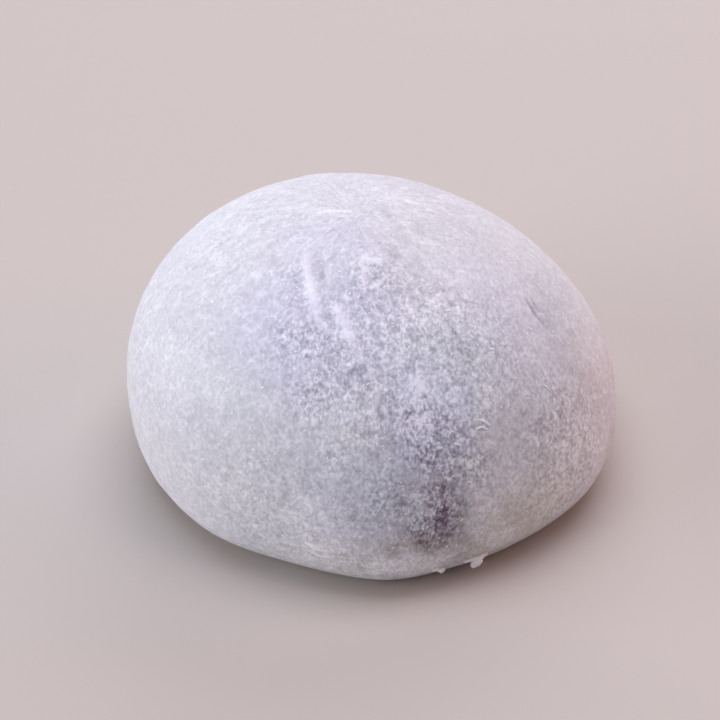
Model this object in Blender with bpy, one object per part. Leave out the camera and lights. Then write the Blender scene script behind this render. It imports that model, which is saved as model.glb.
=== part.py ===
"""A daifuku: a round mochi rice cake, set down on its soft, flattened foot.

The cake is one closed body of dough, wrapped whole round its filling. Its side is
turned from a few sizes, and it is then shaped as hands shape it: waved in plan,
leaned to one side, swollen where the foot spreads and pressed flat here and there.
Run it with Blender 4.5. Metres, +Z up, the front of the cake towards -Y.
"""

import math
from dataclasses import dataclass

import bmesh
import bpy
from mathutils import Matrix, Vector

MM = 0.001

# ---- Driving sizes -------------------------------------------------------------------
WIDTH = 55.0 * MM          # across the waist, before the hand shaping
HEIGHT = 31.4 * MM         # from the foot to the crown
WAIST_HEIGHT = 7.5 * MM    # where the side is widest
FOOT_SHARE = 0.835         # radius of the flat foot, as a share of the waist's
CROWN_FULLNESS = 1.95      # 2 is an elliptical dome, more is squarer, less is more pointed
LEAN = Vector((-3.5 * MM, -1.4 * MM))   # how far the crown sits off the foot's middle

# ---- Fineness of the surface ---------------------------------------------------------
TURN_STEPS = 96            # steps round the cake
CROWN_STEPS = 28           # rows from the waist up to the crown
TUCK_STEPS = 8             # rows from the waist down to the foot
FOOT_STEPS = 3             # rings across the flat underside
MERGE = 0.001 * MM         # points closer than this are one

SKIN_COLOUR = (0.70, 0.67, 0.72, 1.0)
SKIN_ROUGHNESS = 0.85


@dataclass(frozen=True)
class Wave:
    """A slow wave of the outline in plan, as a share of the radius."""

    count: int
    share: float
    crest_deg: float


@dataclass(frozen=True)
class Swell:
    """A place low on the side where the foot spreads out (rise > 0) or draws in."""

    bearing_deg: float
    spread_deg: float
    rise: float


@dataclass(frozen=True)
class Press:
    """A shallow mark left by a finger or palm: a soft oval pushed into the skin."""

    bearing_deg: float
    height: float
    across: float
    along: float
    turn_deg: float
    depth: float


# Bearings run from +X towards +Y, so -90 is the front.
PLAN_WAVES = (
    Wave(count=2, share=0.0045, crest_deg=-12.0),
    Wave(count=3, share=0.0055, crest_deg=-19.0),
)

SWELL_HEIGHT = 4.0 * MM    # where a swell is strongest
SWELL_REACH = 8.0 * MM     # how far up and down it fades
FOOT_SWELLS = (
    Swell(bearing_deg=-3.0, spread_deg=9.0, rise=-0.35 * MM),
    Swell(bearing_deg=-27.0, spread_deg=11.0, rise=0.30 * MM),
    Swell(bearing_deg=-50.0, spread_deg=14.0, rise=-0.27 * MM),
    Swell(bearing_deg=-86.0, spread_deg=11.0, rise=1.00 * MM),
    Swell(bearing_deg=-114.0, spread_deg=13.0, rise=-0.70 * MM),
    Swell(bearing_deg=-143.0, spread_deg=13.0, rise=-0.10 * MM),
    Swell(bearing_deg=158.0, spread_deg=14.0, rise=0.35 * MM),
    Swell(bearing_deg=124.0, spread_deg=13.0, rise=-0.40 * MM),
    Swell(bearing_deg=92.0, spread_deg=12.0, rise=0.45 * MM),
    Swell(bearing_deg=55.0, spread_deg=15.0, rise=-0.35 * MM),
    Swell(bearing_deg=26.0, spread_deg=11.0, rise=0.30 * MM),
)

PRESS_MARKS = (
    Press(bearing_deg=-16.0, height=22.6 * MM, across=1.7 * MM, along=4.2 * MM,
          turn_deg=12.0, depth=0.30 * MM),    # the short tuck high on the right
    Press(bearing_deg=-77.0, height=13.0 * MM, across=5.0 * MM, along=6.5 * MM,
          turn_deg=-20.0, depth=0.28 * MM),   # thin skin over the filling, at the front
    Press(bearing_deg=-104.0, height=24.0 * MM, across=6.5 * MM, along=7.5 * MM,
          turn_deg=0.0, depth=0.20 * MM),     # palm flat on the front of the crown
    Press(bearing_deg=118.0, height=19.0 * MM, across=8.0 * MM, along=6.0 * MM,
          turn_deg=25.0, depth=0.32 * MM),    # palm flat at the back
    Press(bearing_deg=42.0, height=15.0 * MM, across=6.0 * MM, along=5.0 * MM,
          turn_deg=-35.0, depth=0.26 * MM),   # palm flat at the back right
)


def side_point(turn: float) -> tuple[float, float]:
    """Radius and height of the plain turned side.

    `turn` runs from -1, the rim of the foot, through 0, the waist, to 1, the crown.
    """
    radius = WIDTH / 2
    angle = abs(turn) * math.pi / 2
    across, up = max(math.cos(angle), 0.0), math.sin(angle)
    if turn < 0:
        return radius * (FOOT_SHARE + (1 - FOOT_SHARE) * across), WAIST_HEIGHT * (1 - up)
    power = 2 / CROWN_FULLNESS
    return radius * across**power, WAIST_HEIGHT + (HEIGHT - WAIST_HEIGHT) * up**power


def side_profile() -> list[Vector]:
    """Points from the middle of the underside, out, and up to the top of the crown."""
    foot_radius, _ = side_point(-1.0)
    points = [Vector((foot_radius * k / FOOT_STEPS, 0, 0)) for k in range(FOOT_STEPS)]
    turns = [k / TUCK_STEPS - 1 for k in range(TUCK_STEPS)]
    turns += [k / CROWN_STEPS for k in range(CROWN_STEPS + 1)]
    for turn in turns:
        radius, height = side_point(turn)
        points.append(Vector((radius, 0, height)))
    points[-1].x = 0.0
    return points


def angle_between(first_deg: float, second_deg: float) -> float:
    """The signed turn from one bearing to another, within half a turn."""
    return (first_deg - second_deg + 180) % 360 - 180


def bell(distance: float, reach: float) -> float:
    """A soft hump: 1 at no distance, fading smoothly past `reach`."""
    return math.exp(-((distance / reach) ** 2))


def spread_in_plan(bearing_deg: float, height: float) -> float:
    """How much further out the side stands there than the turned one, as a share."""
    share = sum(
        wave.share * math.cos(wave.count * math.radians(bearing_deg - wave.crest_deg))
        for wave in PLAN_WAVES
    )
    near_foot = bell(height - SWELL_HEIGHT, SWELL_REACH)
    for swell in FOOT_SWELLS:
        away = angle_between(bearing_deg, swell.bearing_deg)
        share += swell.rise / (WIDTH / 2) * near_foot * bell(away, swell.spread_deg)
    return share


def press_depth(point: Vector, outward: Vector) -> float:
    """How deep all the finger marks together push the skin in at a point."""
    depth = 0.0
    bearing = math.degrees(math.atan2(point.y, point.x))
    slope = max(math.hypot(outward.x, outward.y), 0.2)
    for mark in PRESS_MARKS:
        away = math.radians(angle_between(bearing, mark.bearing_deg))
        sideways = away * math.hypot(point.x, point.y)
        upwards = (point.z - mark.height) / slope
        turn = math.radians(mark.turn_deg)
        across = sideways * math.cos(turn) - upwards * math.sin(turn)
        along = sideways * math.sin(turn) + upwards * math.cos(turn)
        depth += mark.depth * bell(across, mark.across) * bell(along, mark.along)
    return depth


def turn_dough(bm: bmesh.types.BMesh) -> None:
    """Turn the side profile into a closed round body."""
    verts = [bm.verts.new(point) for point in side_profile()]
    edges = [bm.edges.new(pair) for pair in zip(verts, verts[1:])]
    bmesh.ops.spin(bm, geom=verts + edges, cent=(0, 0, 0), axis=(0, 0, 1),
                   angle=math.tau, steps=TURN_STEPS, use_duplicate=False)
    bmesh.ops.remove_doubles(bm, verts=bm.verts, dist=MERGE)
    bmesh.ops.recalc_face_normals(bm, faces=bm.faces)


def shape_by_hand(bm: bmesh.types.BMesh) -> None:
    """Wave, swell and lean the turned body, then press the finger marks in."""
    for vert in bm.verts:
        bearing = math.degrees(math.atan2(vert.co.y, vert.co.x))
        share = spread_in_plan(bearing, vert.co.z)
        above = max(vert.co.z - WAIST_HEIGHT, 0) / (HEIGHT - WAIST_HEIGHT)
        vert.co.x = vert.co.x * (1 + share) + LEAN.x * above
        vert.co.y = vert.co.y * (1 + share) + LEAN.y * above
    bm.normal_update()
    pressed = [vert.co - vert.normal * press_depth(vert.co, vert.normal)
               for vert in bm.verts]
    for vert, place in zip(bm.verts, pressed):
        if vert.co.z > MERGE:
            vert.co = place


def set_on_origin(bm: bmesh.types.BMesh) -> None:
    """Put the middle of the body's box on the Z axis, and its foot on the floor."""
    low, high = ([pick(vert.co[axis] for vert in bm.verts) for axis in range(3)]
                 for pick in (min, max))
    middle = Vector(((low[0] + high[0]) / 2, (low[1] + high[1]) / 2, low[2]))
    bmesh.ops.transform(bm, matrix=Matrix.Translation(-middle), verts=bm.verts)


def dough_material() -> bpy.types.Material:
    """Dull, starch-dusted rice dough."""
    material = bpy.data.materials.new("starched_dough")
    material.use_nodes = True
    shader = material.node_tree.nodes["Principled BSDF"]
    shader.inputs["Base Color"].default_value = SKIN_COLOUR
    shader.inputs["Roughness"].default_value = SKIN_ROUGHNESS
    shader.inputs["Metallic"].default_value = 0.0
    return material


def build_rice_cake() -> bpy.types.Object:
    """The whole cake, as one solid."""
    bm = bmesh.new()
    turn_dough(bm)
    shape_by_hand(bm)
    set_on_origin(bm)
    mesh = bpy.data.meshes.new("rice_cake")
    bm.to_mesh(mesh)
    bm.free()
    mesh.shade_smooth()
    mesh.materials.append(dough_material())
    cake = bpy.data.objects.new("rice_cake", mesh)
    bpy.context.scene.collection.objects.link(cake)
    return cake


def main() -> None:
    """Clear the scene and build the cake."""
    for thing in list(bpy.data.objects):
        bpy.data.objects.remove(thing, do_unlink=True)
    build_rice_cake()


main()
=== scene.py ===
"""Dress the mochi rice cake: a starch-dusted skin of rice dough with its filling showing through.

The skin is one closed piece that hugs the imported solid, with the ridges, creases and
wrinkles that hands left in it. Clumped grains of potato starch stand on it, a few curled
slivers of dough lie against it, and lumps of starch cling to its foot. Lengths are in
millimetres where a name or a comment says so, and in metres elsewhere. The front of the
cake is towards -Y, and bearings run from +X towards +Y, so that -90 is the front.
"""

import logging
import math
from collections.abc import Iterator, Sequence
from contextlib import contextmanager
from dataclasses import dataclass, field
from enum import Enum

import bpy
import numpy as np
from mathutils import Euler, Matrix, Vector, noise


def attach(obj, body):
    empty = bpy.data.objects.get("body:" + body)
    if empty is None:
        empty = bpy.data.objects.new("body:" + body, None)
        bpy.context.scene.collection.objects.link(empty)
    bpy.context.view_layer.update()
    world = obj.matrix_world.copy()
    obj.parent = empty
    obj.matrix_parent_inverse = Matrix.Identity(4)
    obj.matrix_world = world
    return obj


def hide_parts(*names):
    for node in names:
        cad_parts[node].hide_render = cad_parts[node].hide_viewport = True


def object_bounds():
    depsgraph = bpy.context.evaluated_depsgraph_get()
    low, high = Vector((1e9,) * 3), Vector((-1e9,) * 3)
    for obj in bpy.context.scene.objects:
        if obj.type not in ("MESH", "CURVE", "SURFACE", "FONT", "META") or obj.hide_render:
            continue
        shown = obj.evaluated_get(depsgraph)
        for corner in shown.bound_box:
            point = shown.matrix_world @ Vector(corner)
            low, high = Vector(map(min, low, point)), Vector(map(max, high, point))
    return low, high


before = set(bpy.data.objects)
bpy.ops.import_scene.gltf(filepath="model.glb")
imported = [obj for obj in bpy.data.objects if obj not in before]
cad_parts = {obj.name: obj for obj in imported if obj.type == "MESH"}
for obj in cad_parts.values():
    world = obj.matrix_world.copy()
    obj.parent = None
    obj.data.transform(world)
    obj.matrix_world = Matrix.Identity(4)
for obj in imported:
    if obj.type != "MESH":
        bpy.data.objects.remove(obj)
CAD_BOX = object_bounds()

CAKE_NODE = "rice_cake"
BODY = "root"
MM = 0.001
EYE = 2.2                    # how much faster light grows than it looks to
SEED = 11
DRIFT_SEED = 7               # picks the clouds by which soft edges wander
HEART = (-1.5, 0.0, 8.0)     # the point, in millimetres, that places on the skin are seen from
CROWN = (-2.0, -0.9)         # where the top of the dome is, in plan, in millimetres

log = logging.getLogger("rice_cake")

Place = tuple[float, float, float]
Colour = tuple[float, float, float]


# ---- Working by hand -----------------------------------------------------------------
def deselect_all() -> None:
    """Leave nothing selected, in object mode."""
    if bpy.context.object and bpy.context.object.mode != "OBJECT":
        bpy.ops.object.mode_set(mode="OBJECT")
    bpy.ops.object.select_all(action="DESELECT")


def take_in_hand(piece: bpy.types.Object) -> None:
    """Make a piece the only one selected, and the active one."""
    deselect_all()
    piece.select_set(True)
    bpy.context.view_layer.objects.active = piece


@contextmanager
def editing(piece: bpy.types.Object) -> Iterator[None]:
    """Edit mode on one piece, with its points as the things that are picked."""
    take_in_hand(piece)
    bpy.ops.object.mode_set(mode="EDIT")
    bpy.ops.mesh.select_mode(type="VERT")
    yield
    bpy.ops.object.mode_set(mode="OBJECT")


def points_of(piece: bpy.types.Object) -> np.ndarray:
    """The piece's points as rows of x, y and z, in metres."""
    flat = np.empty(len(piece.data.vertices) * 3)
    piece.data.vertices.foreach_get("co", flat)
    return flat.reshape(-1, 3)


def move_points(piece: bpy.types.Object, places: np.ndarray) -> None:
    """Put the piece's points at the places given."""
    piece.data.vertices.foreach_set("co", places.reshape(-1))
    piece.data.update()


def apply_modifiers(piece: bpy.types.Object) -> None:
    """Apply every modifier on a piece, from the top down."""
    take_in_hand(piece)
    for modifier in list(piece.modifiers):
        bpy.ops.object.modifier_apply(modifier=modifier.name)


def join_pieces(pieces: Sequence[bpy.types.Object], name: str) -> bpy.types.Object:
    """Join pieces into one, named as given."""
    deselect_all()
    for piece in pieces:
        piece.select_set(True)
    bpy.context.view_layer.objects.active = pieces[0]
    bpy.ops.object.join()
    joined = bpy.context.object
    joined.name = joined.data.name = name
    return joined


def paint_group(piece: bpy.types.Object, name: str, weights: np.ndarray) -> None:
    """Make a vertex group whose weights are those given, one for each point."""
    group = piece.vertex_groups.new(name=name)
    steps = np.round(np.clip(weights, 0, 1) * 100).astype(int)
    for step in range(1, 101):
        members = np.flatnonzero(steps == step)
        if len(members):
            group.add(members.tolist(), step / 100, "REPLACE")


def paint_attribute(piece: bpy.types.Object, name: str, values: np.ndarray) -> None:
    """Keep one number at each point of the piece, for its finish to read."""
    attribute = piece.data.attributes.new(name, "FLOAT", "POINT")
    attribute.data.foreach_set("value", values.astype(np.float32))


def wandering(places: np.ndarray, size: float, reach: float) -> np.ndarray:
    """The places, each pushed about by a cloudy drift, so that soft edges wander.

    Args:
        places: rows of x, y and z.
        size: how wide the drift's clouds are.
        reach: how far the drift pushes, at most.

    Returns:
        The pushed places, as rows.
    """
    noise.seed_set(DRIFT_SEED)
    drift = [noise.noise_vector(Vector(place) / size) for place in places]
    return places + reach * np.array(drift)


# ---- Drawing finishes ----------------------------------------------------------------
class NodeSketch:
    """A material's nodes, added and joined by short calls that return sockets."""

    def __init__(self, name: str) -> None:
        """Start a new material with an empty node tree."""
        self.material = bpy.data.materials.new(name)
        self.material.use_nodes = True
        self.tree = self.material.node_tree
        self.tree.nodes.clear()

    def add(self, kind: str, **settings: object) -> bpy.types.Node:
        """Add a node of a kind, with its settings."""
        node = self.tree.nodes.new(kind)
        for key, value in settings.items():
            setattr(node, key, value)
        return node

    def join(self, source: object, socket: bpy.types.NodeSocket) -> None:
        """Feed a socket from another socket, or set it to a plain value."""
        if isinstance(source, bpy.types.NodeSocket):
            self.tree.links.new(source, socket)
        else:
            socket.default_value = source

    def place_mm(self) -> bpy.types.NodeSocket:
        """The place on the piece, in millimetres."""
        scale = self.add("ShaderNodeVectorMath", operation="SCALE")
        self.join(self.add("ShaderNodeTexCoord").outputs["Object"], scale.inputs[0])
        scale.inputs["Scale"].default_value = 1 / MM
        return scale.outputs[0]

    def kept(self, name: str) -> bpy.types.NodeSocket:
        """A number kept at each point of the piece."""
        return self.add("ShaderNodeAttribute", attribute_name=name).outputs["Fac"]

    def sums(self, operation: str, *values: object) -> bpy.types.NodeSocket:
        """One Math node."""
        node = self.add("ShaderNodeMath", operation=operation)
        for value, socket in zip(values, node.inputs):
            self.join(value, socket)
        return node.outputs[0]

    def total(self, *parts: tuple[object, float]) -> bpy.types.NodeSocket:
        """The sum of several values, each times its own share."""
        value: object = 0.0
        for part, share in parts:
            value = self.sums("MULTIPLY_ADD", part, share, value)
        return value

    def vectors(self, operation: str, *values: object) -> bpy.types.Node:
        """One Vector Math node."""
        node = self.add("ShaderNodeVectorMath", operation=operation)
        for value, socket in zip(values, node.inputs):
            self.join(value, socket)
        return node

    def noise(self, where: object, size: float, detail: float = 2.0, rough: float = 0.5,
              wander: float = 0.0) -> bpy.types.NodeSocket:
        """A cloudy pattern about zero whose blotches are about `size` across."""
        node = self.add("ShaderNodeTexNoise")
        self.join(where, node.inputs["Vector"])
        node.inputs["Scale"].default_value = 1 / size
        node.inputs["Detail"].default_value = detail
        node.inputs["Roughness"].default_value = rough
        node.inputs["Distortion"].default_value = wander
        return self.sums("SUBTRACT", node.outputs["Fac"], 0.5)

    def ease(self, value: object, start: object, end: object, low: float = 0.0,
             high: float = 1.0) -> bpy.types.NodeSocket:
        """Turn a value smoothly from `low` at `start` to `high` at `end`."""
        node = self.add("ShaderNodeMapRange", interpolation_type="SMOOTHSTEP")
        for source, name in ((value, "Value"), (start, "From Min"), (end, "From Max"),
                             (low, "To Min"), (high, "To Max")):
            self.join(source, node.inputs[name])
        return node.outputs[0]

    def blend(self, share: object, first: object, second: object) -> bpy.types.NodeSocket:
        """Mix two colours by a share from 0 to 1."""
        node = self.add("ShaderNodeMix", data_type="RGBA")
        self.join(share, node.inputs[0])
        self.join(opaque(first), node.inputs[6])
        self.join(opaque(second), node.inputs[7])
        return node.outputs[2]

    def tinted(self, colour: object, tint: Colour) -> bpy.types.NodeSocket:
        """A colour seen through a tint."""
        return self.vectors("MULTIPLY", colour, tint).outputs[0]

    def shade_blend(self, share: object, first: object, second: object) -> bpy.types.NodeSocket:
        """Mix two colours in steps that look even to the eye."""
        ends = []
        for colour in (first, second):
            node = self.add("ShaderNodeGamma")
            self.join(opaque(colour), node.inputs["Color"])
            node.inputs["Gamma"].default_value = 1 / EYE
            ends.append(node.outputs[0])
        node = self.add("ShaderNodeGamma")
        self.join(self.blend(share, *ends), node.inputs["Color"])
        node.inputs["Gamma"].default_value = EYE
        return node.outputs[0]


def opaque(colour: object) -> object:
    """A colour with its alpha of 1, or a socket as it is."""
    return (*colour, 1.0) if isinstance(colour, tuple) else colour


# ---- Finishes ------------------------------------------------------------------------
class Showing(Enum):
    """What shows through the skin, or on it, in a patch, and where light and shade are painted on
    it.
    """

    LILAC = "lilac"        # the filling, seen dimly through thick dough
    PLUM = "plum"          # the filling, right under a thin skin
    STARCH_AND_SHADING = "starch_and_shading"        # more starch, or with a strength below zero, less; it also carries painted light and shade in some patches and in the creases
    WARM_BOUNCE = "warm_bounce"        # the right side painted warm and pink, for warm light bounced onto it
    FOOT_AND_SHADE = "foot"          # clear, damp dough where the cake sits, and at the front right painted shade with warm light bounced from below
    GRAINY = "grainy"      # where the starch stands in separate clumps
    PAINTED_COOL = "painted_cool"        # a cool tint painted where the warm fill light falls, to take back its warmth
    PRESSED = "pressed"    # starch pressed smooth


@dataclass(frozen=True)
class Patch:
    """A soft-edged oval place on the cake, by its middle and its reach, in millimetres."""

    middle: Place
    reach: Place
    core: float = 0.2      # the share of the reach over which it is at its fullest
    strength: float = 1.0

    def cover(self, places: np.ndarray) -> np.ndarray:
        """How strongly the patch covers each place, up to its strength."""
        away = np.linalg.norm((places - self.middle) / self.reach, axis=1)
        inward = np.clip((1 - away) / (1 - self.core), 0, 1)
        return self.strength * inward * inward * (3 - 2 * inward)


@dataclass(frozen=True)
class DustedDough:
    """Rice dough under a dusting of potato starch."""

    bare_dough: Colour = (0.27, 0.27, 0.31)
    lilac_dough: Colour = (0.25, 0.245, 0.33)
    plum_dough: Colour = (0.10, 0.062, 0.10)
    # painted warm bounced light, for the right side
    warm_bounce_dough: Colour = (0.295, 0.21, 0.21)
    # darkened and browned: the clear dough's own colour, and painted shade with warm light bounced
    # from below
    foot_dough_and_shade: Colour = (0.30, 0.255, 0.16)
    starch: Colour = (0.86, 0.86, 0.91)
    lilac_starch: Colour = (0.865, 0.86, 1.0)    # starch with the filling's colour behind it
    cool_tint: Colour = (0.945, 1.0, 0.99)      # the painted cool tint, set against the warm fill light
    veil: float = 0.625           # how much of the dough the starch hides, on the whole
    calm: float = 0.23            # how uneven the starch is away from its clumps
    stir: float = 1.15            # how uneven it is among them
    brushing: Place = (1.14, 0.88, 0.88)    # under 1 draws the grain out that way
    dust_mm: float = 0.20
    grain_mm: float = 0.38
    fleck_mm: float = 0.85
    clump_mm: float = 2.4
    smear_mm: float = 2.1
    wisp_mm: float = 2.4
    wisp_curl: float = 1.8
    streak_turns: float = 13.0    # how finely the brushing is split round the crown
    streak_mm: float = 4.5        # how long a brushed streak is

    def streaks(self, sketch: NodeSketch, place: object) -> bpy.types.NodeSocket:
        """Streaks brushed outwards from the crown."""
        flat = sketch.vectors("MULTIPLY", place, (1.0, 1.0, 0.0)).outputs[0]
        out = sketch.vectors("SUBTRACT", flat, (*CROWN, 0.0)).outputs[0]
        ahead = sketch.vectors("NORMALIZE", out).outputs[0]
        turned = sketch.vectors("MULTIPLY", ahead, (self.streak_turns,) * 3).outputs[0]
        distance = sketch.vectors("LENGTH", out).outputs["Value"]
        depth = sketch.add("ShaderNodeCombineXYZ")
        sketch.join(sketch.sums("DIVIDE", distance, self.streak_mm), depth.inputs["Z"])
        where = sketch.vectors("ADD", turned, depth.outputs[0]).outputs[0]
        streak = sketch.noise(where, 1.0, detail=3.0, rough=0.6, wander=0.3)
        return sketch.sums("MULTIPLY", streak, sketch.ease(distance, 21.0, 7.0))

    def make(self, name: str) -> bpy.types.Material:
        """Build the material.

        Args:
            name: the material's name.

        Returns:
            The finished material.
        """
        sketch = NodeSketch(name)
        place = sketch.place_mm()
        cover = {kind: sketch.kept(kind.value) for kind in Showing}

        # the right side is painted warm, for light bounced onto it
        dough = sketch.blend(cover[Showing.WARM_BOUNCE], self.bare_dough, self.warm_bounce_dough)
        dough = sketch.blend(cover[Showing.LILAC], dough, self.lilac_dough)
        dough = sketch.blend(cover[Showing.PLUM], dough, self.plum_dough)
        # the foot's colour: clear dough, partly painted shade and warm bounced light
        dough = sketch.blend(cover[Showing.FOOT_AND_SHADE], dough, self.foot_dough_and_shade)

        brushed = sketch.vectors("MULTIPLY", place, self.brushing).outputs[0]
        dust = sketch.noise(place, self.dust_mm, detail=1.0)
        grain = sketch.noise(brushed, self.grain_mm, detail=1.0, wander=0.5)
        flecks = sketch.noise(place, self.fleck_mm, detail=0.0, wander=0.3)
        clumps = sketch.noise(place, self.clump_mm, detail=1.0, rough=0.55)
        smears = sketch.noise(place, self.smear_mm, detail=3.0, rough=0.55, wander=1.3)
        wisps = sketch.noise(place, self.wisp_mm, detail=0.0, wander=self.wisp_curl)
        wisps = sketch.ease(sketch.sums("ABSOLUTE", wisps), 0.05, 0.0)
        wisps = sketch.sums("MULTIPLY", wisps, sketch.ease(cover[Showing.GRAINY], 0.5, 0.1))
        speckle = sketch.total((dust, 0.1), (grain, 1.92), (flecks, 0.80), (clumps, 0.05))
        lively = sketch.ease(cover[Showing.GRAINY], 0.0, 1.0, self.calm, self.stir)
        filled = sketch.ease(cover[Showing.PRESSED], 0.0, 1.0, 1.0, 0.4)
        # The starch share also carries painted light and shade: lighter patches for light bounced
        # up from below, darker ones for shade in the creases and beside the tuck.
        coverage = sketch.total((sketch.sums("MULTIPLY", lively, filled), speckle),
                                (clumps, 0.10), (self.streaks(sketch, place), 0.46),
                                (sketch.ease(smears, 0.02, 0.14), 0.06), (wisps, 0.12),
                                (cover[Showing.STARCH_AND_SHADING], 0.34), (cover[Showing.FOOT_AND_SHADE], -0.08),
                                (self.veil - 0.03, 1.0))
        starch = sketch.blend(cover[Showing.LILAC], self.starch, self.lilac_starch)
        colour = sketch.shade_blend(coverage, dough, starch)
        # painted: a cooler colour where the warm fill light falls
        colour = sketch.blend(cover[Showing.PAINTED_COOL], colour, sketch.tinted(colour, self.cool_tint))

        shader = sketch.add("ShaderNodeBsdfPrincipled")
        sketch.join(colour, shader.inputs["Base Color"])
        sketch.join(sketch.ease(coverage, 0.0, 1.0, 0.60, 0.92), shader.inputs["Roughness"])
        shader.inputs["Subsurface Weight"].default_value = 0.30
        shader.inputs["Subsurface Radius"].default_value = (1.0, 0.8, 0.9)
        shader.inputs["Subsurface Scale"].default_value = 1.2 * MM
        shader.inputs["Specular IOR Level"].default_value = 0.3
        shader.inputs["Sheen Weight"].default_value = 0.12
        shader.inputs["Sheen Roughness"].default_value = 0.6
        bump = sketch.add("ShaderNodeBump")
        bump.inputs["Strength"].default_value = 0.6
        bump.inputs["Distance"].default_value = 0.05 * MM
        sketch.join(coverage, bump.inputs["Height"])
        sketch.join(bump.outputs[0], shader.inputs["Normal"])
        output = sketch.add("ShaderNodeOutputMaterial")
        sketch.join(shader.outputs[0], output.inputs["Surface"])
        return sketch.material


@dataclass(frozen=True)
class CakedStarch:
    """Potato starch where it has clumped: dull, near white, a little uneven."""

    light: Colour = (0.86, 0.86, 0.92)
    dim: Colour = (0.70, 0.69, 0.76)
    fleck_mm: float = 0.7

    def make(self, name: str) -> bpy.types.Material:
        """Build the material."""
        sketch = NodeSketch(name)
        flecks = sketch.noise(sketch.place_mm(), self.fleck_mm, detail=3.0, rough=0.6)
        shader = sketch.add("ShaderNodeBsdfPrincipled")
        sketch.join(sketch.blend(sketch.ease(flecks, -0.22, 0.18), self.dim, self.light),
                    shader.inputs["Base Color"])
        shader.inputs["Roughness"].default_value = 0.95
        shader.inputs["Specular IOR Level"].default_value = 0.2
        bump = sketch.add("ShaderNodeBump")
        bump.inputs["Strength"].default_value = 0.4
        bump.inputs["Distance"].default_value = 0.03 * MM
        sketch.join(flecks, bump.inputs["Height"])
        sketch.join(bump.outputs[0], shader.inputs["Normal"])
        output = sketch.add("ShaderNodeOutputMaterial")
        sketch.join(shader.outputs[0], output.inputs["Surface"])
        return sketch.material


@dataclass(frozen=True)
class PlainPaint:
    """A plain matt surface, for the floor."""

    colour: Colour = (0.50, 0.45, 0.42)
    rough: float = 0.8

    def make(self, name: str) -> bpy.types.Material:
        """Build the material."""
        sketch = NodeSketch(name)
        shader = sketch.add("ShaderNodeBsdfPrincipled")
        shader.inputs["Base Color"].default_value = (*self.colour, 1.0)
        shader.inputs["Roughness"].default_value = self.rough
        output = sketch.add("ShaderNodeOutputMaterial")
        sketch.join(shader.outputs[0], output.inputs["Surface"])
        return sketch.material


# ---- What hands left in the dough ----------------------------------------------------
@dataclass(frozen=True)
class Mark:
    """A small mark in the dough or its starch: a ridge, a crease, a wrinkle or a smear.

    Its middle is where a line from the cake's heart, at its bearing and rise, comes out
    of the skin. Seen square on, it runs at its heading from level, counted from the right
    upwards. Lengths are in millimetres.
    """

    bearing_deg: float
    rise_deg: float
    heading_deg: float
    length: float
    width: float             # how far it reaches to each side
    bow: float = 0.0         # how far its middle is bowed to the left of its ends
    lift: float = 0.0        # how far it stands up, or below zero, how deep it is
    starch: float = 0.0      # how much more starch it has, or below zero, how much less; in the creases, less starch is painted shade

    def axes(self) -> tuple[Vector, Vector, Vector]:
        """Its outward, rightward and upward directions."""
        bearing, rise = math.radians(self.bearing_deg), math.radians(self.rise_deg)
        outward = Vector((math.cos(bearing) * math.cos(rise),
                          math.sin(bearing) * math.cos(rise), math.sin(rise)))
        rightward = Vector((0, 0, 1)).cross(outward).normalized()
        return outward, rightward, outward.cross(rightward)

    def cover(self, places: np.ndarray) -> np.ndarray:
        """How strongly the mark lies on each place, from 0 to 1."""
        rays = places - HEART
        ahead, right, up = (rays @ np.array(axis) for axis in self.axes())
        reach = np.linalg.norm(rays, axis=1)
        scale = reach / np.maximum(ahead, 0.5 * reach)
        heading = math.radians(self.heading_deg)
        along = (right * math.cos(heading) + up * math.sin(heading)) * scale
        across = (up * math.cos(heading) - right * math.sin(heading)) * scale
        share = 2 * along / self.length
        left = np.clip(1 - share**2, 0, 1)
        across = across + self.bow * share**2
        width = self.width * (0.45 + 0.55 * left)
        near = ahead > 0.8 * reach
        return near * np.exp(-np.abs(across / width) ** 3) * left * (2 - left)


RIDGES = (
    Mark(-114, 60, -57, 10.0, 0.60, bow=-0.10, lift=0.15, starch=0.80),  # long, from the crown
    Mark(-104, 50, -42, 4.0, 0.30, bow=-0.09, lift=0.06, starch=0.50),   # its thin tail
    Mark(-95, 50, -64, 5.8, 0.60, bow=-0.12, lift=0.13, starch=0.74),    # beside the tail
    Mark(-110, 67, -53, 3.0, 0.20, bow=-0.22, lift=0.05, starch=0.60),   # a small hook
    Mark(-103, 67, 80, 2.2, 0.20, bow=-0.19, lift=0.05, starch=0.45),
    Mark(-82, 69, -22, 3.0, 0.50, lift=0.08, starch=0.55),               # a smeared fan
    Mark(-87, 65, -83, 3.0, 0.34, bow=-0.06, lift=0.05, starch=0.45),    # its leg
    Mark(-78, 62, -140, 2.8, 0.22, lift=0.05, starch=0.70),
    Mark(-163, 85, 67, 6.2, 0.22, bow=0.74, lift=0.05, starch=0.55),     # arcs on the crown
    Mark(-148, 83, 57, 4.1, 0.20, bow=0.39, lift=0.04, starch=0.50),
    Mark(-136, 77, 47, 2.2, 0.20, bow=0.25, lift=0.04, starch=0.50),
    Mark(32, 74, -137, 3.4, 0.50, bow=-0.10, lift=0.06, starch=0.5),     # smear at the back
    Mark(-158, 48, 58, 2.9, 0.30, bow=0.07, lift=0.05, starch=0.45),     # smears at the left
    Mark(-166, 51, 80, 2.0, 0.26, bow=0.24, lift=0.04, starch=0.4),
    Mark(-140, 56, -12, 1.7, 0.45, bow=0.13, lift=0.05, starch=0.40),
    Mark(108, 52, -55, 6.5, 0.55, bow=0.30, lift=0.10, starch=0.45),     # at the back
    Mark(66, 44, 25, 3.2, 0.45, bow=0.20, lift=0.07, starch=0.45),
    Mark(150, 38, -75, 3.8, 0.40, bow=-0.15, lift=0.06, starch=0.40),
)

# Creases: shallow real dips, darkened as well by their starch below zero, which is painted shade.
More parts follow.
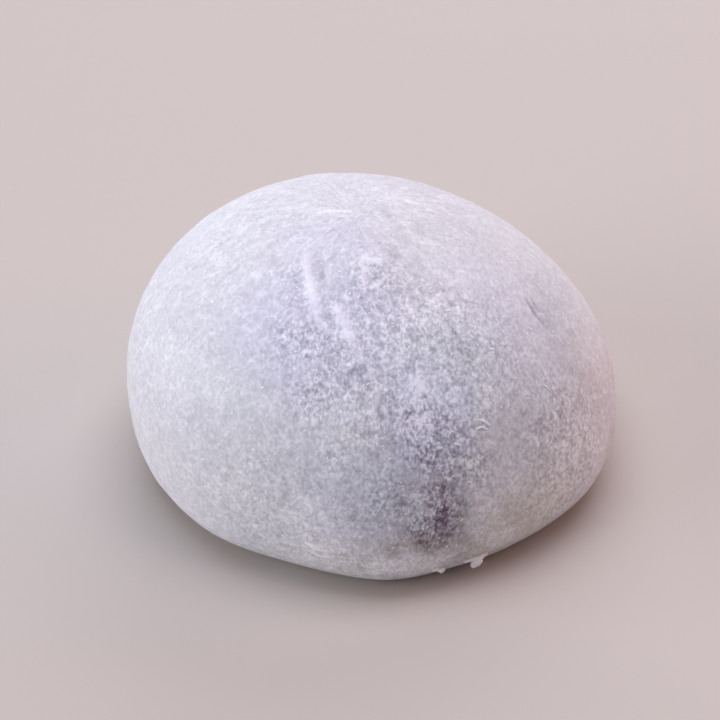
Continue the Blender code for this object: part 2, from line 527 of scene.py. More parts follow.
SHADED_CREASES = (
    Mark(-111, 64, -59, 3.8, 0.26, bow=0.06, lift=-0.05, starch=-0.40),   # beside the ridge, painted darker as its shaded side
    Mark(-112, 52, -55, 3.0, 0.24, bow=-0.21, lift=-0.05, starch=-0.35),
    Mark(-101, 53, -60, 3.0, 0.40, lift=-0.04, starch=-0.15),
    Mark(-80, 64, -135, 3.3, 0.24, lift=-0.08, starch=-1.0),
    Mark(-155, 81, 67, 3.4, 0.22, bow=0.60, lift=-0.05, starch=-0.50),
    Mark(-172, 54, 99, 2.7, 0.15, bow=-0.05, lift=-0.03, starch=-0.35),
    Mark(-166, 57, 97, 3.2, 0.15, bow=0.14, lift=-0.03, starch=-0.35),
    Mark(-167, 65, 110, 1.6, 0.14, bow=0.08, lift=-0.03, starch=-0.35),
    Mark(47, 65, -144, 3.3, 0.30, bow=0.49, lift=-0.06, starch=-0.5),
    Mark(-9, 82, -149, 2.8, 0.22, bow=-0.04, lift=-0.04, starch=-0.5),
    Mark(-63, 70, -109, 2.8, 0.80, bow=0.06, lift=-0.03, starch=-0.40),
    Mark(-22, 37, -109, 3.6, 0.26, bow=-0.19, lift=-0.20, starch=-0.80),  # the tuck, right, its fold painted darker as shade
    Mark(-19, 37, -117, 2.0, 0.20, bow=0.19, lift=-0.16, starch=-0.75),
    # a broad painted shade round the tuck, where the skin turns away from the light
    Mark(-21, 34, -109, 4.5, 1.30, lift=-0.10, starch=-0.35),
    Mark(104, 50, -58, 4.6, 0.30, bow=0.25, lift=-0.06, starch=-0.40),    # at the back
    Mark(38, 30, -70, 3.4, 0.30, bow=-0.20, lift=-0.08, starch=-0.45),
    Mark(170, 25, -100, 4.0, 0.35, bow=0.25, lift=-0.06, starch=-0.35),
)

WRINKLES = (
    Mark(-98, -5, 3, 3.8, 0.20, bow=-0.66, lift=0.14, starch=0.8),
    Mark(-98, -7, 8, 3.5, 0.20, bow=-0.80, lift=0.14, starch=0.8),
    Mark(-100, -4, 4, 3.3, 0.20, bow=-0.56, lift=0.12, starch=0.7),
)

SMEARS = (
    Mark(-99, 48, -39, 3.6, 0.60, bow=-0.17, lift=0.03, starch=0.22),    # between the ridges
    Mark(-80, 49, -93, 6.6, 0.75, bow=-0.08, lift=0.04, starch=0.35),    # light streaks, front
    Mark(-86, 28, -79, 3.7, 0.60, bow=-0.09, lift=0.04, starch=0.45),
    Mark(-73, 34, -82, 3.4, 0.80, bow=0.18, lift=0.08, starch=0.45),     # clumped starch, front
    Mark(-77, 41, -77, 2.1, 0.60, bow=-0.08, lift=0.05, starch=0.40),
    Mark(-100, 9, 50, 1.9, 0.60, lift=0.05, starch=0.5),
    Mark(-44, 58, -101, 4.1, 0.30, bow=0.30, lift=0.04, starch=0.30),
    Mark(-69, 10, -92, 1.6, 0.45, bow=0.10, starch=-0.6),
    Mark(-71, 5, -155, 2.6, 0.60, bow=0.05, starch=-0.9),
    Mark(-76, -1, -167, 2.0, 0.50, starch=-0.6),
    Mark(-82, 13, -15, 1.0, 0.32, bow=-0.12, starch=-0.6),
    Mark(-76, 12, -27, 1.1, 0.32, bow=-0.05, starch=-0.6),
)

SMOOTHED = (*RIDGES, *WRINKLES)
MARKS = (*SMOOTHED, *SHADED_CREASES, *SMEARS)

SLIVERS = (
    Mark(-58, 23, -44, 1.7, 0.16, bow=0.12, lift=0.10),    # a curl of dough, front right
    Mark(-59, 22, -23, 1.5, 0.15, bow=0.33, lift=0.09),
    Mark(-37, 23, -69, 0.9, 0.12, bow=0.10, lift=0.07),
    Mark(-41, 10, -53, 0.9, 0.12, lift=0.07),
    Mark(-66, 20, -29, 0.8, 0.12, bow=0.05, lift=0.06),
    Mark(-50, 52, -24, 0.7, 0.16, bow=-0.10, lift=0.06),
    Mark(-54, 50, -22, 0.6, 0.15, bow=0.06, lift=0.06),
    Mark(-47, 37, -19, 0.7, 0.16, bow=-0.10, lift=0.06),
)


# ---- The cake's skin -----------------------------------------------------------------
@dataclass
class DoughSkin:
    """The visible skin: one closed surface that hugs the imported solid."""

    cuts: tuple[int, int] = (63, 1)   # cuts along each edge of the starting cube, in turn
    inset: float = 0.13 * MM     # how far the skin lies inside the solid
    settle_rounds: int = 3
    relax_steps: int = 8
    undulation: float = 0.35 * MM
    undulation_size: float = 9.0 * MM
    lumps: float = 0.12 * MM
    lump_size: float = 2.6 * MM
    grain: float = 0.07 * MM
    grain_size: float = 0.8 * MM
    flat_below: float = 0.30 * MM   # the underside stays flat up to here
    tallest_mark: float = 0.25 * MM
    drift_size: float = 3.2      # millimetres, as all of the patches are
    drift_reach: float = 1.1
    patches: dict[Showing, tuple[Patch, ...]] = field(default_factory=lambda: {
        Showing.LILAC: (
            Patch((-4.6, -16.5, 27.0), (15.0, 13.0, 11.0), core=0.3, strength=0.75),
            Patch((-4.0, -8.0, 30.5), (9.0, 9.0, 5.0), core=0.2, strength=0.5),
            Patch((5.8, -21.5, 20.5), (9.0, 8.0, 9.0), core=0.2, strength=0.9),
            Patch((13.0, -12.0, 24.0), (14.0, 14.0, 14.0), core=0.2, strength=0.4),
            Patch((1.0, -25.5, 12.0), (14.0, 9.0, 9.0), core=0.2, strength=0.5),
            Patch((5.2, -24.2, 17.4), (5.0, 5.0, 5.5), core=0.3, strength=1.0),
            Patch((3.0, 17.0, 21.0), (14.0, 10.0, 9.0), core=0.2, strength=0.6),
        ),
        Showing.PLUM: (
            Patch((7.0, -26.3, 9.8), (4.2, 4.6, 6.4), core=0.0, strength=1.1),
            Patch((6.8, -25.2, 14.4), (3.8, 4.4, 6.0), core=0.0, strength=0.75),
            Patch((5.0, -27.2, 7.9), (6.0, 4.8, 3.5), core=0.0, strength=0.88),
            Patch((2.5, -26.2, 12.6), (4.2, 4.2, 4.2), core=0.0, strength=0.22),
            Patch((-0.5, -27.4, 10.4), (6.0, 5.0, 3.6), strength=0.25),
        ),
        # Patches of more and less starch; some of them are painted light and shade, as noted below.
        Showing.STARCH_AND_SHADING: (
            Patch((5.2, -21.6, 21.0), (4.0, 4.5, 5.0), strength=0.60),
            Patch((6.2, -19.2, 23.4), (3.6, 4.0, 3.6), strength=0.20),
            Patch((9.8, -20.6, 20.6), (3.4, 3.6, 3.6), strength=0.35),
            Patch((5.5, -15.5, 26.6), (6.0, 4.5, 3.6), strength=0.40),
            Patch((-1.6, -18.0, 26.0), (3.4, 2.6, 2.6), strength=0.42),
            Patch((12.8, -18.0, 20.7), (2.8, 2.8, 2.8), strength=0.32),
            Patch((-3.6, -22.9, 21.4), (2.8, 2.4, 2.6), strength=0.30),
            Patch((5.4, -23.8, 18.4), (2.2, 2.4, 2.6), strength=0.30),
            Patch((5.2, -26.4, 12.4), (1.8, 2.0, 2.4), strength=0.26),
            Patch((13.8, -23.0, 4.6), (3.6, 3.0, 2.6), strength=0.55),
            Patch((7.8, -12.1, 27.2), (3.0, 2.4, 2.4), strength=0.15),
            Patch((6.8, -14.6, 26.0), (2.6, 2.0, 2.0), strength=0.22),
            Patch((8.6, -7.0, 28.5), (6.0, 5.0, 4.0), strength=0.28),
            Patch((10.5, -11.5, 26.5), (5.0, 4.0, 4.0), strength=0.28),
            Patch((0.2, -21.8, 22.4), (2.6, 3.5, 3.5), strength=0.16),
            Patch((-4.6, -24.6, 18.2), (4.5, 4.0, 4.5), strength=0.12),
            Patch((-19.0, -12.5, 18.5), (7.0, 7.0, 5.0), strength=0.20),
            Patch((-13.0, -22.5, 11.0), (7.0, 6.0, 7.0), strength=0.20),
            Patch((-5.8, -26.3, 9.0), (5.0, 5.0, 7.0), core=0.2, strength=0.35),
            Patch((11.6, -25.0, 7.0), (3.6, 4.0, 5.0), strength=0.35),
            Patch((14.0, -22.5, 12.1), (4.0, 4.0, 4.0), strength=0.30),
            Patch((4.0, 4.0, 30.5), (8.0, 6.0, 3.5), strength=0.15),
            Patch((-11.8, 2.4, 29.9), (5.0, 5.0, 3.0), strength=-0.15),
            Patch((2.6, -14.3, 27.7), (3.0, 2.6, 2.6), strength=-0.30),
            Patch((-3.2, -19.7, 24.7), (4.2, 3.4, 3.6), strength=-0.35),
            Patch((7.2, -23.1, 18.2), (4.0, 3.8, 4.2), strength=-0.55),
            Patch((10.4, -22.4, 17.0), (3.4, 3.4, 3.4), strength=-0.22),
            Patch((3.6, -25.7, 13.4), (3.4, 4.0, 4.4), strength=-0.24),
            Patch((3.7, -24.4, 17.6), (2.6, 2.4, 2.4), strength=-0.34),
            Patch((7.6, -25.9, 11.2), (3.5, 4.0, 5.6), strength=-0.45),
            Patch((9.0, -25.6, 4.6), (3.2, 3.0, 3.0), strength=-0.28),
            Patch((5.3, -26.9, 10.9), (1.9, 2.0, 2.2), strength=0.10),
            Patch((12.6, -24.0, 8.8), (2.4, 2.4, 2.4), strength=0.16),
            Patch((7.2, -26.6, 7.2), (4.2, 4.0, 3.0), strength=-0.55),
            Patch((9.9, -25.2, 10.0), (2.4, 2.4, 2.6), strength=-0.16),
            Patch((4.0, -27.2, 8.6), (2.8, 2.8, 2.4), strength=-0.22),
            Patch((-0.6, -20.2, 24.2), (2.8, 2.4, 2.4), strength=0.20),
            Patch((-4.2, -14.2, 28.2), (2.4, 2.4, 2.2), strength=0.20),
            Patch((-0.8, -25.4, 17.0), (1.8, 2.0, 2.0), strength=0.18),
            Patch((9.9, -21.9, 18.5), (1.8, 2.0, 2.0), strength=0.20),
            Patch((0.2, -22.8, 21.2), (3.0, 2.6, 2.6), strength=-0.20),
            Patch((-1.0, -27.5, 10.8), (3.4, 3.0, 2.6), strength=-0.25),
            Patch((1.8, -27.6, 9.9), (3.0, 3.0, 2.2), strength=-0.14),
            Patch((8.6, -14.9, 25.5), (2.6, 2.4, 2.4), strength=-0.24),
            # painted shade, right of the tuck, where the skin turns away from the light
            Patch((20.1, -7.5, 20.6), (5.5, 6.0, 5.0), strength=-0.30),
            Patch((16.5, -18.6, 16.4), (4.0, 4.0, 4.0), strength=-0.20),
            # painted light on the lower right and along the front of the foot, standing in for
            # light bounced up from below
            Patch((22.5, -15.5, 8.5), (9.0, 9.0, 8.0), core=0.3, strength=0.50),
            Patch((16.0, -22.0, 7.5), (9.0, 7.0, 7.0), core=0.3, strength=0.40),
            Patch((5.0, -27.6, 4.2), (7.5, 4.0, 2.8), core=0.4, strength=0.90),
            Patch((7.8, -24.6, 15.0), (2.8, 2.4, 2.2), strength=0.26),
            Patch((-16.7, -17.8, 21.0), (3.6, 3.6, 2.8), strength=0.18),
            Patch((-10.0, -21.8, 20.9), (3.2, 2.8, 2.8), strength=0.18),
            Patch((-5.3, -9.1, 30.3), (3.4, 3.0, 2.4), strength=-0.20),
            Patch((19.8, -1.5, 22.0), (6.0, 7.0, 5.0), core=0.3, strength=-0.18),
            Patch((21.8, -12.5, 15.5), (6.0, 9.0, 9.0), core=0.3, strength=-0.15),
            Patch((12.0, 18.0, 16.0), (7.0, 6.0, 6.0), strength=0.35),    # at the back
            Patch((-6.0, 22.0, 12.0), (8.0, 6.0, 6.0), strength=-0.25),
            Patch((-14.0, 16.0, 19.0), (7.0, 6.0, 5.0), strength=0.30),
            Patch((4.0, 23.0, 8.0), (6.0, 5.0, 5.0), strength=0.30),
            Patch((21.0, 12.0, 12.0), (6.0, 7.0, 6.0), strength=-0.20),
        ),
        # where the warm fill light's tint is painted out with a cool tint
        Showing.PAINTED_COOL: (
            Patch((8.0, -17.5, 22.0), (10.5, 9.0, 9.5), core=0.25, strength=0.9),
            Patch((7.0, -24.5, 16.5), (5.0, 5.0, 6.0), core=0.0, strength=0.8),
            Patch((1.6, -26.3, 14.0), (5.0, 4.0, 6.0), core=0.1, strength=0.8),
            Patch((4.8, -26.8, 10.4), (2.6, 3.0, 4.0), core=0.1, strength=0.8),
        ),
        # painted warm bounced light, on the right side
        Showing.WARM_BOUNCE: (
            Patch((27.0, -8.0, 12.0), (14.0, 22.0, 16.0), core=0.1, strength=0.9),
        ),
        Showing.FOOT_AND_SHADE: (
            # the front right, painted as shade with warm light bounced from below
            Patch((17.0, -23.0, 4.5), (13.0, 9.0, 9.0), core=0.3, strength=0.8),
            Patch((0.0, -28.0, 5.0), (15.0, 6.0, 5.5), core=0.3, strength=0.4),
        ),
        Showing.GRAINY: (
            Patch((3.5, -17.5, 21.8), (19.0, 16.5, 14.5), core=0.35, strength=0.51),
            Patch((5.4, -22.8, 18.8), (6.0, 6.0, 7.5), core=0.2, strength=0.98),
            Patch((-6.5, -17.5, 26.0), (7.5, 5.5, 5.5), core=0.2, strength=0.52),
            Patch((-6.0, -21.2, 22.4), (6.5, 5.0, 5.0), core=0.2, strength=0.55),
            Patch((1.5, -26.3, 13.2), (5.5, 4.0, 6.0), core=0.2, strength=0.60),
            Patch((-7.7, -11.4, 29.2), (5.0, 5.0, 4.0), core=0.2, strength=0.36),
            Patch((-3.5, -25.0, 17.5), (5.5, 5.0, 5.0), core=0.2, strength=0.45),
            Patch((0.4, -10.8, 29.4), (6.0, 6.0, 5.0), strength=0.52),
            Patch((6.5, -26.2, 11.0), (6.5, 6.0, 7.5), core=0.3, strength=0.66),
            Patch((9.5, -23.5, 15.5), (6.0, 6.0, 7.0), core=0.2, strength=0.72),
            Patch((20.0, -17.0, 12.0), (11.0, 11.0, 13.0), core=0.3, strength=0.50),
            Patch((0.0, -25.0, 10.0), (27.0, 14.0, 13.0), core=0.5, strength=0.33),
            Patch((5.0, 19.0, 18.0), (14.0, 10.0, 10.0), core=0.2, strength=0.45),
            Patch((-17.0, 12.0, 16.0), (10.0, 10.0, 10.0), core=0.2, strength=0.30),
        ),
    })
    foot_top: float = 2.4        # the clear dough at the foot fades out here
    foot_full: float = 0.9

    def smooth_core(self) -> bpy.types.Object:
        """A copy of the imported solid, joined up and rounded, for the skin to hug."""
        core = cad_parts[CAKE_NODE].copy()
        core.data = core.data.copy()
        core.name = "skin_former"
        bpy.context.scene.collection.objects.link(core)
        with editing(core):
            bpy.ops.mesh.select_all(action="SELECT")
            bpy.ops.mesh.remove_doubles(threshold=0.005 * MM)
            bpy.ops.mesh.tris_convert_to_quads()
            bpy.ops.mesh.normals_make_consistent(inside=False)
        core.modifiers.new("rounding", "SUBSURF").levels = 2
        apply_modifiers(core)
        return core

    def ball(self) -> bpy.types.Object:
        """A ball of even squares, squashed to the cake's size."""
        low, high = CAD_BOX
        middle = (low + high) / 2
        size = high - low
        deselect_all()
        bpy.ops.mesh.primitive_cube_add(size=2.0, location=(0, 0, 0))
        skin = bpy.context.object
        skin.name = skin.data.name = "dough_skin"
        with editing(skin):
            bpy.ops.mesh.select_all(action="SELECT")
            for cuts in self.cuts:
                bpy.ops.mesh.subdivide(number_cuts=cuts)
            bpy.ops.transform.tosphere(value=1.0)
            bpy.ops.transform.resize(value=(size.x / 2, size.y / 2, size.z * 0.58))
            bpy.ops.transform.translate(value=(middle.x, middle.y, size.z * 0.42))
        return skin

    def hug(self, skin: bpy.types.Object, core: bpy.types.Object) -> None:
        """Settle the ball on the solid, spreading its points evenly as it goes."""
        for _ in range(self.settle_rounds):
            relax = skin.modifiers.new("relax", "SMOOTH")
            relax.iterations = self.relax_steps
            wrap = skin.modifiers.new("wrap", "SHRINKWRAP")
            wrap.target = core
            wrap.wrap_method = "NEAREST_SURFACEPOINT"
            wrap.wrap_mode = "ON_SURFACE"
            apply_modifiers(skin)

    def press(self, skin: bpy.types.Object, name: str, depth: float, group: str,
              size: float = 0.0, level: float = 0.5) -> None:
        """Push the skin out or in, by a cloudy relief if it has a size."""
        relief = skin.modifiers.new(name, "DISPLACE")
        relief.vertex_group = group
        relief.strength = depth
        relief.mid_level = level
        if size:
            texture = bpy.data.textures.new(f"{name}_relief", "CLOUDS")
            texture.noise_scale = size
            texture.noise_depth = 2
            texture.noise_basis = "ORIGINAL_PERLIN"
            relief.texture = texture
            relief.texture_coords = "LOCAL"

    def shape(self, skin: bpy.types.Object) -> None:
        """Give the skin its unevenness, from palm-wide to grain-fine, and its marks."""
        places = points_of(skin)
        rise = np.clip((places[:, 2] - self.flat_below) / (2 * MM), 0, 1)
        paint_group(skin, "off_the_floor", rise)
        lift = sum(mark.lift * mark.cover(places / MM) for mark in MARKS)
        paint_group(skin, "raised", lift * MM / self.tallest_mark)
        paint_group(skin, "sunk", -lift * MM / self.tallest_mark)
        self.press(skin, "inset", -self.inset, "off_the_floor", level=0.0)
        self.press(skin, "undulation", self.undulation, "off_the_floor", self.undulation_size)
        self.press(skin, "lumps", self.lumps, "off_the_floor", self.lump_size)
        self.press(skin, "ridges", self.tallest_mark, "raised", level=0.0)
        self.press(skin, "creases", -self.tallest_mark, "sunk", level=0.0)
        self.press(skin, "grain", self.grain, "off_the_floor", self.grain_size)
        apply_modifiers(skin)

    def paint(self, skin: bpy.types.Object) -> None:
        """Note at each point what shows through, how much starch lies on it, and where light and
        shade are painted.
        """
        places = points_of(skin) / MM
        drifted = wandering(places, self.drift_size, self.drift_reach)
        for kind in Showing:
            covers = [patch.cover(drifted) for patch in self.patches.get(kind, ())]
            if kind is Showing.FOOT_AND_SHADE:
                inward = np.clip((self.foot_top - drifted[:, 2])
                                 / (self.foot_top - self.foot_full), 0, 1)
                covers.append(0.6 * inward * inward * (3 - 2 * inward))
            if kind is Showing.STARCH_AND_SHADING:
                # The marks add their starch here; in the creases, starch below zero is painted
                # shade.
                covers += [mark.starch * mark.cover(places) for mark in MARKS]
                paint_attribute(skin, kind.value, np.clip(sum(covers), -1, 1))
            elif kind is Showing.PRESSED:
                covers = [mark.cover(places) for mark in SMOOTHED]
                paint_attribute(skin, kind.value, np.max(covers, axis=0))
            else:
                paint_attribute(skin, kind.value, np.max(covers, axis=0))

    def build(self) -> bpy.types.Object:
        """Make and dress the skin.

        Returns:
            The finished piece, riding on the cake's body in place of its solid.
        """
        core = self.smooth_core()
        skin = self.ball()
        self.hug(skin, core)
        bpy.data.objects.remove(core, do_unlink=True)
        self.shape(skin)
        self.paint(skin)
        take_in_hand(skin)
        bpy.ops.object.shade_smooth()
        skin.data.materials.append(DustedDough().make("dusted_dough"))
        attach(skin, BODY)
        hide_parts(CAKE_NODE)
        return skin


# ---- Loose starch --------------------------------------------------------------------
class ScatterSketch:
    """A Geometry Nodes tree, added and joined by short calls."""

    def __init__(self, name: str) -> None:
        """Start a tree that takes a mesh in and gives one out."""
        self.tree = bpy.data.node_groups.new(name, "GeometryNodeTree")
        for way in ("INPUT", "OUTPUT"):
            self.tree.interface.new_socket("Geometry", in_out=way,
                                           socket_type="NodeSocketGeometry")
        self.start = self.tree.nodes.new("NodeGroupInput").outputs[0]
        self.end = self.tree.nodes.new("NodeGroupOutput").inputs[0]

    def add(self, kind: str, inputs: dict[str, object], **settings: object) -> bpy.types.Node:
        """Add a node of a kind, with its settings, and feed its inputs."""
        node = self.tree.nodes.new(kind)
        for key, value in settings.items():
            setattr(node, key, value)
        for name, value in inputs.items():
            socket = next(s for s in node.inputs if s.name == name and s.enabled)
            if isinstance(value, bpy.types.NodeSocket):
                self.tree.links.new(value, socket)
            else:
                socket.default_value = value
        return node

    def random(self, low: object, high: object, seed: int) -> bpy.types.NodeSocket:
        """A random number or vector between two, the same on every run."""
        kind = "FLOAT_VECTOR" if isinstance(low, tuple) else "FLOAT"
        node = self.add("FunctionNodeRandomValue", {"Min": low, "Max": high, "Seed": seed},
                        data_type=kind)
        return next(s for s in node.outputs if s.enabled)


@dataclass
class StarchGrains:
    """Clumps of starch no bigger than poppy seeds, scattered over the skin and half sunk in it."""

    radius: float = 0.17 * MM
    sides: int = 6
    spacing: float = 0.45 * MM
    most_per_mm2: float = 0.55
    smallest: Place = (0.5, 0.35, 0.10)
    largest: Place = (1.6, 0.8, 0.20)
    raggedness: float = 0.012 * MM

    def scatter(self) -> bpy.types.NodeTree:
        """The nodes that strew the grains over a skin and leave only the grains."""
        sketch = ScatterSketch("starch_scatter")
        share = sketch.add("GeometryNodeInputNamedAttribute", {"Name": "scatter"},
                           data_type="FLOAT").outputs["Attribute"]
        strewn = sketch.add("GeometryNodeDistributePointsOnFaces", {
            "Mesh": sketch.start, "Distance Min": self.spacing,
            "Density Max": self.most_per_mm2 / MM**2, "Density Factor": share,
            "Seed": SEED}, distribute_method="POISSON")
        grain = sketch.add("GeometryNodeMeshUVSphere", {
            "Radius": self.radius, "Segments": self.sides, "Rings": 2})
        placed = sketch.add("GeometryNodeInstanceOnPoints", {
            "Points": strewn.outputs["Points"], "Instance": grain.outputs["Mesh"],
            "Rotation": strewn.outputs["Rotation"],
            "Scale": sketch.random(self.smallest, self.largest, SEED + 1)})
        turned = sketch.add("GeometryNodeRotateInstances", {
            "Instances": placed.outputs["Instances"],
            "Rotation": sketch.random((-0.08, -0.08, 0.0), (0.08, 0.08, math.tau), SEED + 2)})
        real = sketch.add("GeometryNodeRealizeInstances",
                          {"Geometry": turned.outputs["Instances"]})
        place = sketch.add("GeometryNodeInputPosition", {}).outputs[0]
        cloud = sketch.add("ShaderNodeTexNoise", {"Vector": place, "Scale": 1 / (0.25 * MM),
                                                  "Detail": 1.0}).outputs["Color"]
        centred = sketch.add("ShaderNodeVectorMath", {"Vector": cloud},
                             operation="SUBTRACT")
        centred.inputs[1].default_value = (0.5, 0.5, 0.5)
        ragged = sketch.add("ShaderNodeVectorMath", {"Vector": centred.outputs[0],
                                                     "Scale": 2 * self.raggedness},
                            operation="SCALE")
        moved = sketch.add("GeometryNodeSetPosition", {
            "Geometry": real.outputs["Geometry"], "Offset": ragged.outputs[0]})
        sketch.tree.links.new(moved.outputs["Geometry"], sketch.end)
        return sketch.tree

    def share_of(self, skin: bpy.types.Object) -> np.ndarray:
        """How thickly the grains lie at each point of the skin, from 0 to 1."""
        places = points_of(skin) / MM
        grainy = np.empty(len(places), dtype=np.float32)
        skin.data.attributes[Showing.GRAINY.value].data.foreach_get("value", grainy)
        clear_of_foot = np.clip((places[:, 2] - 1.5) / 3.0, 0, 1)
        return (0.15 + 0.85 * grainy) * clear_of_foot

    def build(self, skin: bpy.types.Object) -> bpy.types.Object:
        """Strew the grains.

        Args:
            skin: the finished skin that they lie on.

        Returns:
            The finished piece, riding on the cake's body.
        """
        grains = bpy.data.objects.new("starch_grains", skin.data.copy())
        grains.data.name = grains.name
        bpy.context.scene.collection.objects.link(grains)
        paint_attribute(grains, "scatter", self.share_of(skin))
        grains.modifiers.new("scatter", "NODES").node_group = self.scatter()
        apply_modifiers(grains)
        grains.data.materials.clear()
        grains.data.materials.append(CakedStarch().make("starch_of_grains"))
        take_in_hand(grains)
        bpy.ops.object.shade_flat()
        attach(grains, BODY)
        return grains


@dataclass
class DoughSlivers:
    """Thin curled slivers of starchy dough that lie against the skin."""

    marks: tuple[Mark, ...] = SLIVERS

    def sliver(self, mark: Mark, skin: bpy.types.Object) -> bpy.types.Object:
        """Make one sliver and lay it along its mark."""
        outward, _, _ = mark.axes()
        heart = Vector(HEART) * MM
        _, spot, normal, _ = skin.ray_cast(heart + outward * 60 * MM, -outward)
        deselect_all()
        bpy.ops.mesh.primitive_uv_sphere_add(segments=10, ring_count=14, radius=1.0,
                                             rotation=(0, math.pi / 2, 0))
        piece = bpy.context.object
        bpy.ops.object.transform_apply(location=True, rotation=True, scale=True)
        shape = points_of(piece) * (mark.length / 2 * MM, mark.width * MM, mark.lift * MM)
        share = 2 * shape[:, 0] / (mark.length * MM)
        shape[:, 1] -= mark.bow * MM * share**2
        move_points(piece, shape)
        upward = Vector((0, 0, 1))
        right = upward.cross(normal).normalized()
        turn = Matrix((right, normal.cross(right), normal)).transposed()
        heading = Matrix.Rotation(math.radians(mark.heading_deg), 3, "Z")
        piece.matrix_world = Matrix.Translation(spot) @ (turn @ heading).to_4x4()
        bpy.ops.object.transform_apply(location=True, rotation=True, scale=True)
        return piece

    def build(self, skin: bpy.types.Object) -> bpy.types.Object:
        """Lay all the slivers.

        Args:
            skin: the finished skin that they lie on.

        Returns:
            The finished piece, riding on the cake's body.
        """
        slivers = join_pieces([self.sliver(mark, skin) for mark in self.marks], "dough_slivers")
        rough = slivers.modifiers.new("rough", "DISPLACE")
        texture = bpy.data.textures.new("sliver_relief", "CLOUDS")
        texture.noise_scale = 0.3 * MM
        rough.texture = texture
        rough.texture_coords = "LOCAL"
        rough.strength = 0.06 * MM
        apply_modifiers(slivers)
        bpy.ops.object.shade_smooth()
        slivers.data.materials.append(CakedStarch().make("starch_of_slivers"))
        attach(slivers, BODY)
        return slivers


@dataclass(frozen=True)
class Lump:
    """A lump of starchy dough at the foot, by its bearing and its size in millimetres."""

    bearing_deg: float
    height: float
    size: Place
    turn_deg: float = 0.0
    out: float = 0.0         # how far its middle stands off the skin


@dataclass
class FootLumps:
    """Lumps of starchy dough that cling to the foot of the cake."""

    lumps: tuple[Lump, ...] = (
        Lump(-64.2, 2.50, (1.9, 0.9, 0.55), turn_deg=6.0, out=0.08),
        Lump(-66.6, 2.35, (1.7, 0.7, 0.45), turn_deg=4.0, out=0.02),
        Lump(-64.6, 1.80, (1.0, 1.0, 1.1), turn_deg=12.0, out=0.35),
        Lump(-65.4, 1.40, (0.7, 0.9, 0.9), out=0.50),
        Lump(-74.0, 2.15, (0.9, 0.7, 0.7), turn_deg=8.0, out=0.15),
        Lump(-75.4, 2.40, (0.9, 0.5, 0.4), turn_deg=4.0, out=0.0),
        Lump(128.0, 2.20, (1.5, 0.7, 0.5), turn_deg=-8.0, out=0.02),
        Lump(127.2, 1.85, (0.8, 0.7, 0.7), out=0.15),
    )

    def lump(self, lump: Lump, skin: bpy.types.Object) -> bpy.types.Object:
        """Make one lump and press it against the foot."""
        bearing = math.radians(lump.bearing_deg)
        outward = Vector((math.cos(bearing), math.sin(bearing), 0))
        start = outward * 60 * MM + Vector((0, 0, lump.height * MM))
        _, spot, _, _ = skin.ray_cast(start, -outward)
        deselect_all()
        bpy.ops.mesh.primitive_ico_sphere_add(subdivisions=4, radius=0.5)
        piece = bpy.context.object
        move_points(piece, points_of(piece) * lump.size * MM)
        right = Vector((0, 0, 1)).cross(outward)
        turn = Matrix((right, outward, -right.cross(outward))).transposed()
        tilt = Matrix.Rotation(-math.radians(lump.turn_deg), 3, "Y")
        spot = spot + outward * lump.out * MM
        piece.matrix_world = Matrix.Translation(spot) @ (turn @ tilt).to_4x4()
        bpy.ops.object.transform_apply(location=True, rotation=True, scale=True)
        return piece

    def build(self, skin: bpy.types.Object) -> bpy.types.Object:
        """Press all the lumps on.

        Args:
            skin: the finished skin that they cling to.

        Returns:
            The finished piece, riding on the cake's body.
        """
        lumps = join_pieces([self.lump(lump, skin) for lump in self.lumps], "foot_lumps")
        for name, size, depth in (("lumpy", 0.45 * MM, 0.35 * MM), ("rough", 0.15 * MM, 0.08 * MM)):
            relief = lumps.modifiers.new(name, "DISPLACE")
            texture = bpy.data.textures.new(f"{name}_lump", "CLOUDS")
            texture.noise_scale = size
            relief.texture = texture
            relief.texture_coords = "LOCAL"
            relief.strength = depth
        apply_modifiers(lumps)
        places = points_of(lumps)
        places[:, 2] = np.maximum(places[:, 2], 0.0)
        move_points(lumps, places)
        bpy.ops.object.shade_smooth()
        lumps.data.materials.append(
            CakedStarch(light=(0.98, 0.93, 0.95), dim=(0.90, 0.84, 0.87)).make("starch_of_lumps"))
        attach(lumps, BODY)
        return lumps


# ---- The studio ----------------------------------------------------------------------
@dataclass(frozen=True)
class SoftPanel:
    """A soft light panel, by the way it lies from the cake."""

    name: str
    bearing_deg: float
    height_deg: float
    distance: float
    width: float
    tall: float
    power: float
    colour: Colour

    def hang(self) -> None:
        """Hang the panel, facing the cake."""
        bearing, height = math.radians(self.bearing_deg), math.radians(self.height_deg)
        towards = Vector((math.cos(bearing) * math.cos(height),
                          math.sin(bearing) * math.cos(height), math.sin(height)))
        light = bpy.data.lights.new(self.name, "AREA")
        light.shape = "RECTANGLE"
        light.size = self.width
        light.size_y = self.tall
        light.energy = self.power
        light.color = self.colour
        lamp = bpy.data.objects.new(self.name, light)
        lamp.location = towards * self.distance
        lamp.rotation_euler = towards.to_track_quat("Z", "Y").to_euler()
        bpy.context.scene.collection.objects.link(lamp)


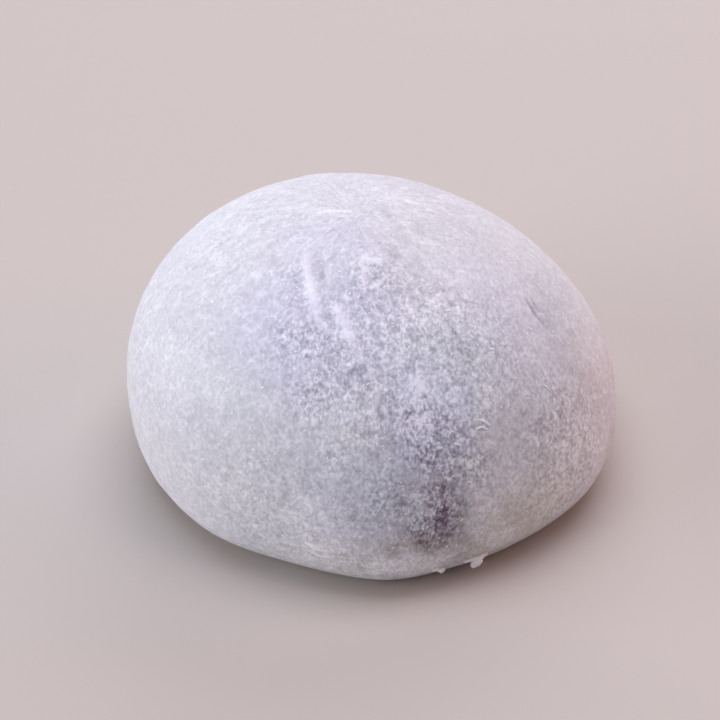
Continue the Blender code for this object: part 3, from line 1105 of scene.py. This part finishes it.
@dataclass
class Studio:
    """A plain pale floor under soft light from the left, from behind and from the sky."""

    floor_size: float = 3.0
    floor_drop: float = 0.02 * MM
    sky_colour: Colour = (0.64, 0.84, 1.0)
    sky_strength: float = 0.18
    panels: tuple[SoftPanel, ...] = (
        SoftPanel("window", 195.0, 15.0, 0.60, 0.55, 0.34, 2.92, (1.0, 0.965, 1.0)),
        SoftPanel("ceiling", 90.0, 85.0, 0.60, 0.55, 0.34, 2.62, (0.92, 0.91, 1.0)),
        SoftPanel("back_panel", 75.0, 35.0, 0.60, 0.55, 0.34, 1.55, (1.0, 0.95, 1.0)),
        SoftPanel("warm_fill", 0.0, 35.0, 0.60, 0.55, 0.34, 1.08, (1.0, 0.54, 0.41)),
    )

    def lay_floor(self) -> None:
        """Lay the floor just under the cake."""
        deselect_all()
        bpy.ops.mesh.primitive_plane_add(size=self.floor_size,
                                         location=(0, 0, CAD_BOX[0].z - self.floor_drop))
        floor = bpy.context.object
        floor.name = "floor"
        floor.data.materials.append(PlainPaint().make("floor_paint"))

    def light_sky(self) -> None:
        """Fill the room with an even, cool light."""
        world = bpy.data.worlds.new("sky")
        world.use_nodes = True
        background = world.node_tree.nodes["Background"]
        background.inputs["Color"].default_value = (*self.sky_colour, 1.0)
        background.inputs["Strength"].default_value = self.sky_strength
        bpy.context.scene.world = world
        bpy.context.scene.view_settings.view_transform = "Standard"

    def build(self) -> None:
        """Set up floor and lights."""
        self.lay_floor()
        self.light_sky()
        for panel in self.panels:
            panel.hang()


@dataclass
class ViewingCamera:
    """A camera that looks down on the front of the cake."""

    elevation_deg: float = 36.0
    distance: float = 263.4 * MM
    aim: Place = (-1.36 * MM, 0.0, 11.17 * MM)
    lens_mm: float = 117.7
    sensor_mm: float = 36.0

    def build(self) -> None:
        """Make the camera and look through it."""
        tilt = math.radians(self.elevation_deg)
        back = Vector((0, -math.cos(tilt), math.sin(tilt)))
        data = bpy.data.cameras.new("viewing_camera")
        data.lens = self.lens_mm
        data.sensor_width = self.sensor_mm
        camera = bpy.data.objects.new("viewing_camera", data)
        camera.location = Vector(self.aim) + back * self.distance
        camera.rotation_euler = Euler((math.pi / 2 - tilt, 0, 0))
        bpy.context.scene.collection.objects.link(camera)
        bpy.context.scene.camera = camera


def report(piece: bpy.types.Object) -> None:
    """Log a finished piece and how many triangles it has."""
    piece.data.calc_loop_triangles()
    log.info("%s: %d triangles", piece.name, len(piece.data.loop_triangles))


def main() -> None:
    """Build the cake and its studio, reporting each piece."""
    logging.basicConfig(level=logging.INFO, format="%(name)s: %(message)s")
    ViewingCamera().build()
    skin = DoughSkin().build()
    report(skin)
    for part in (StarchGrains(), DoughSlivers(), FootLumps()):
        report(part.build(skin))
    Studio().build()


if __name__ == "__main__":
    main()
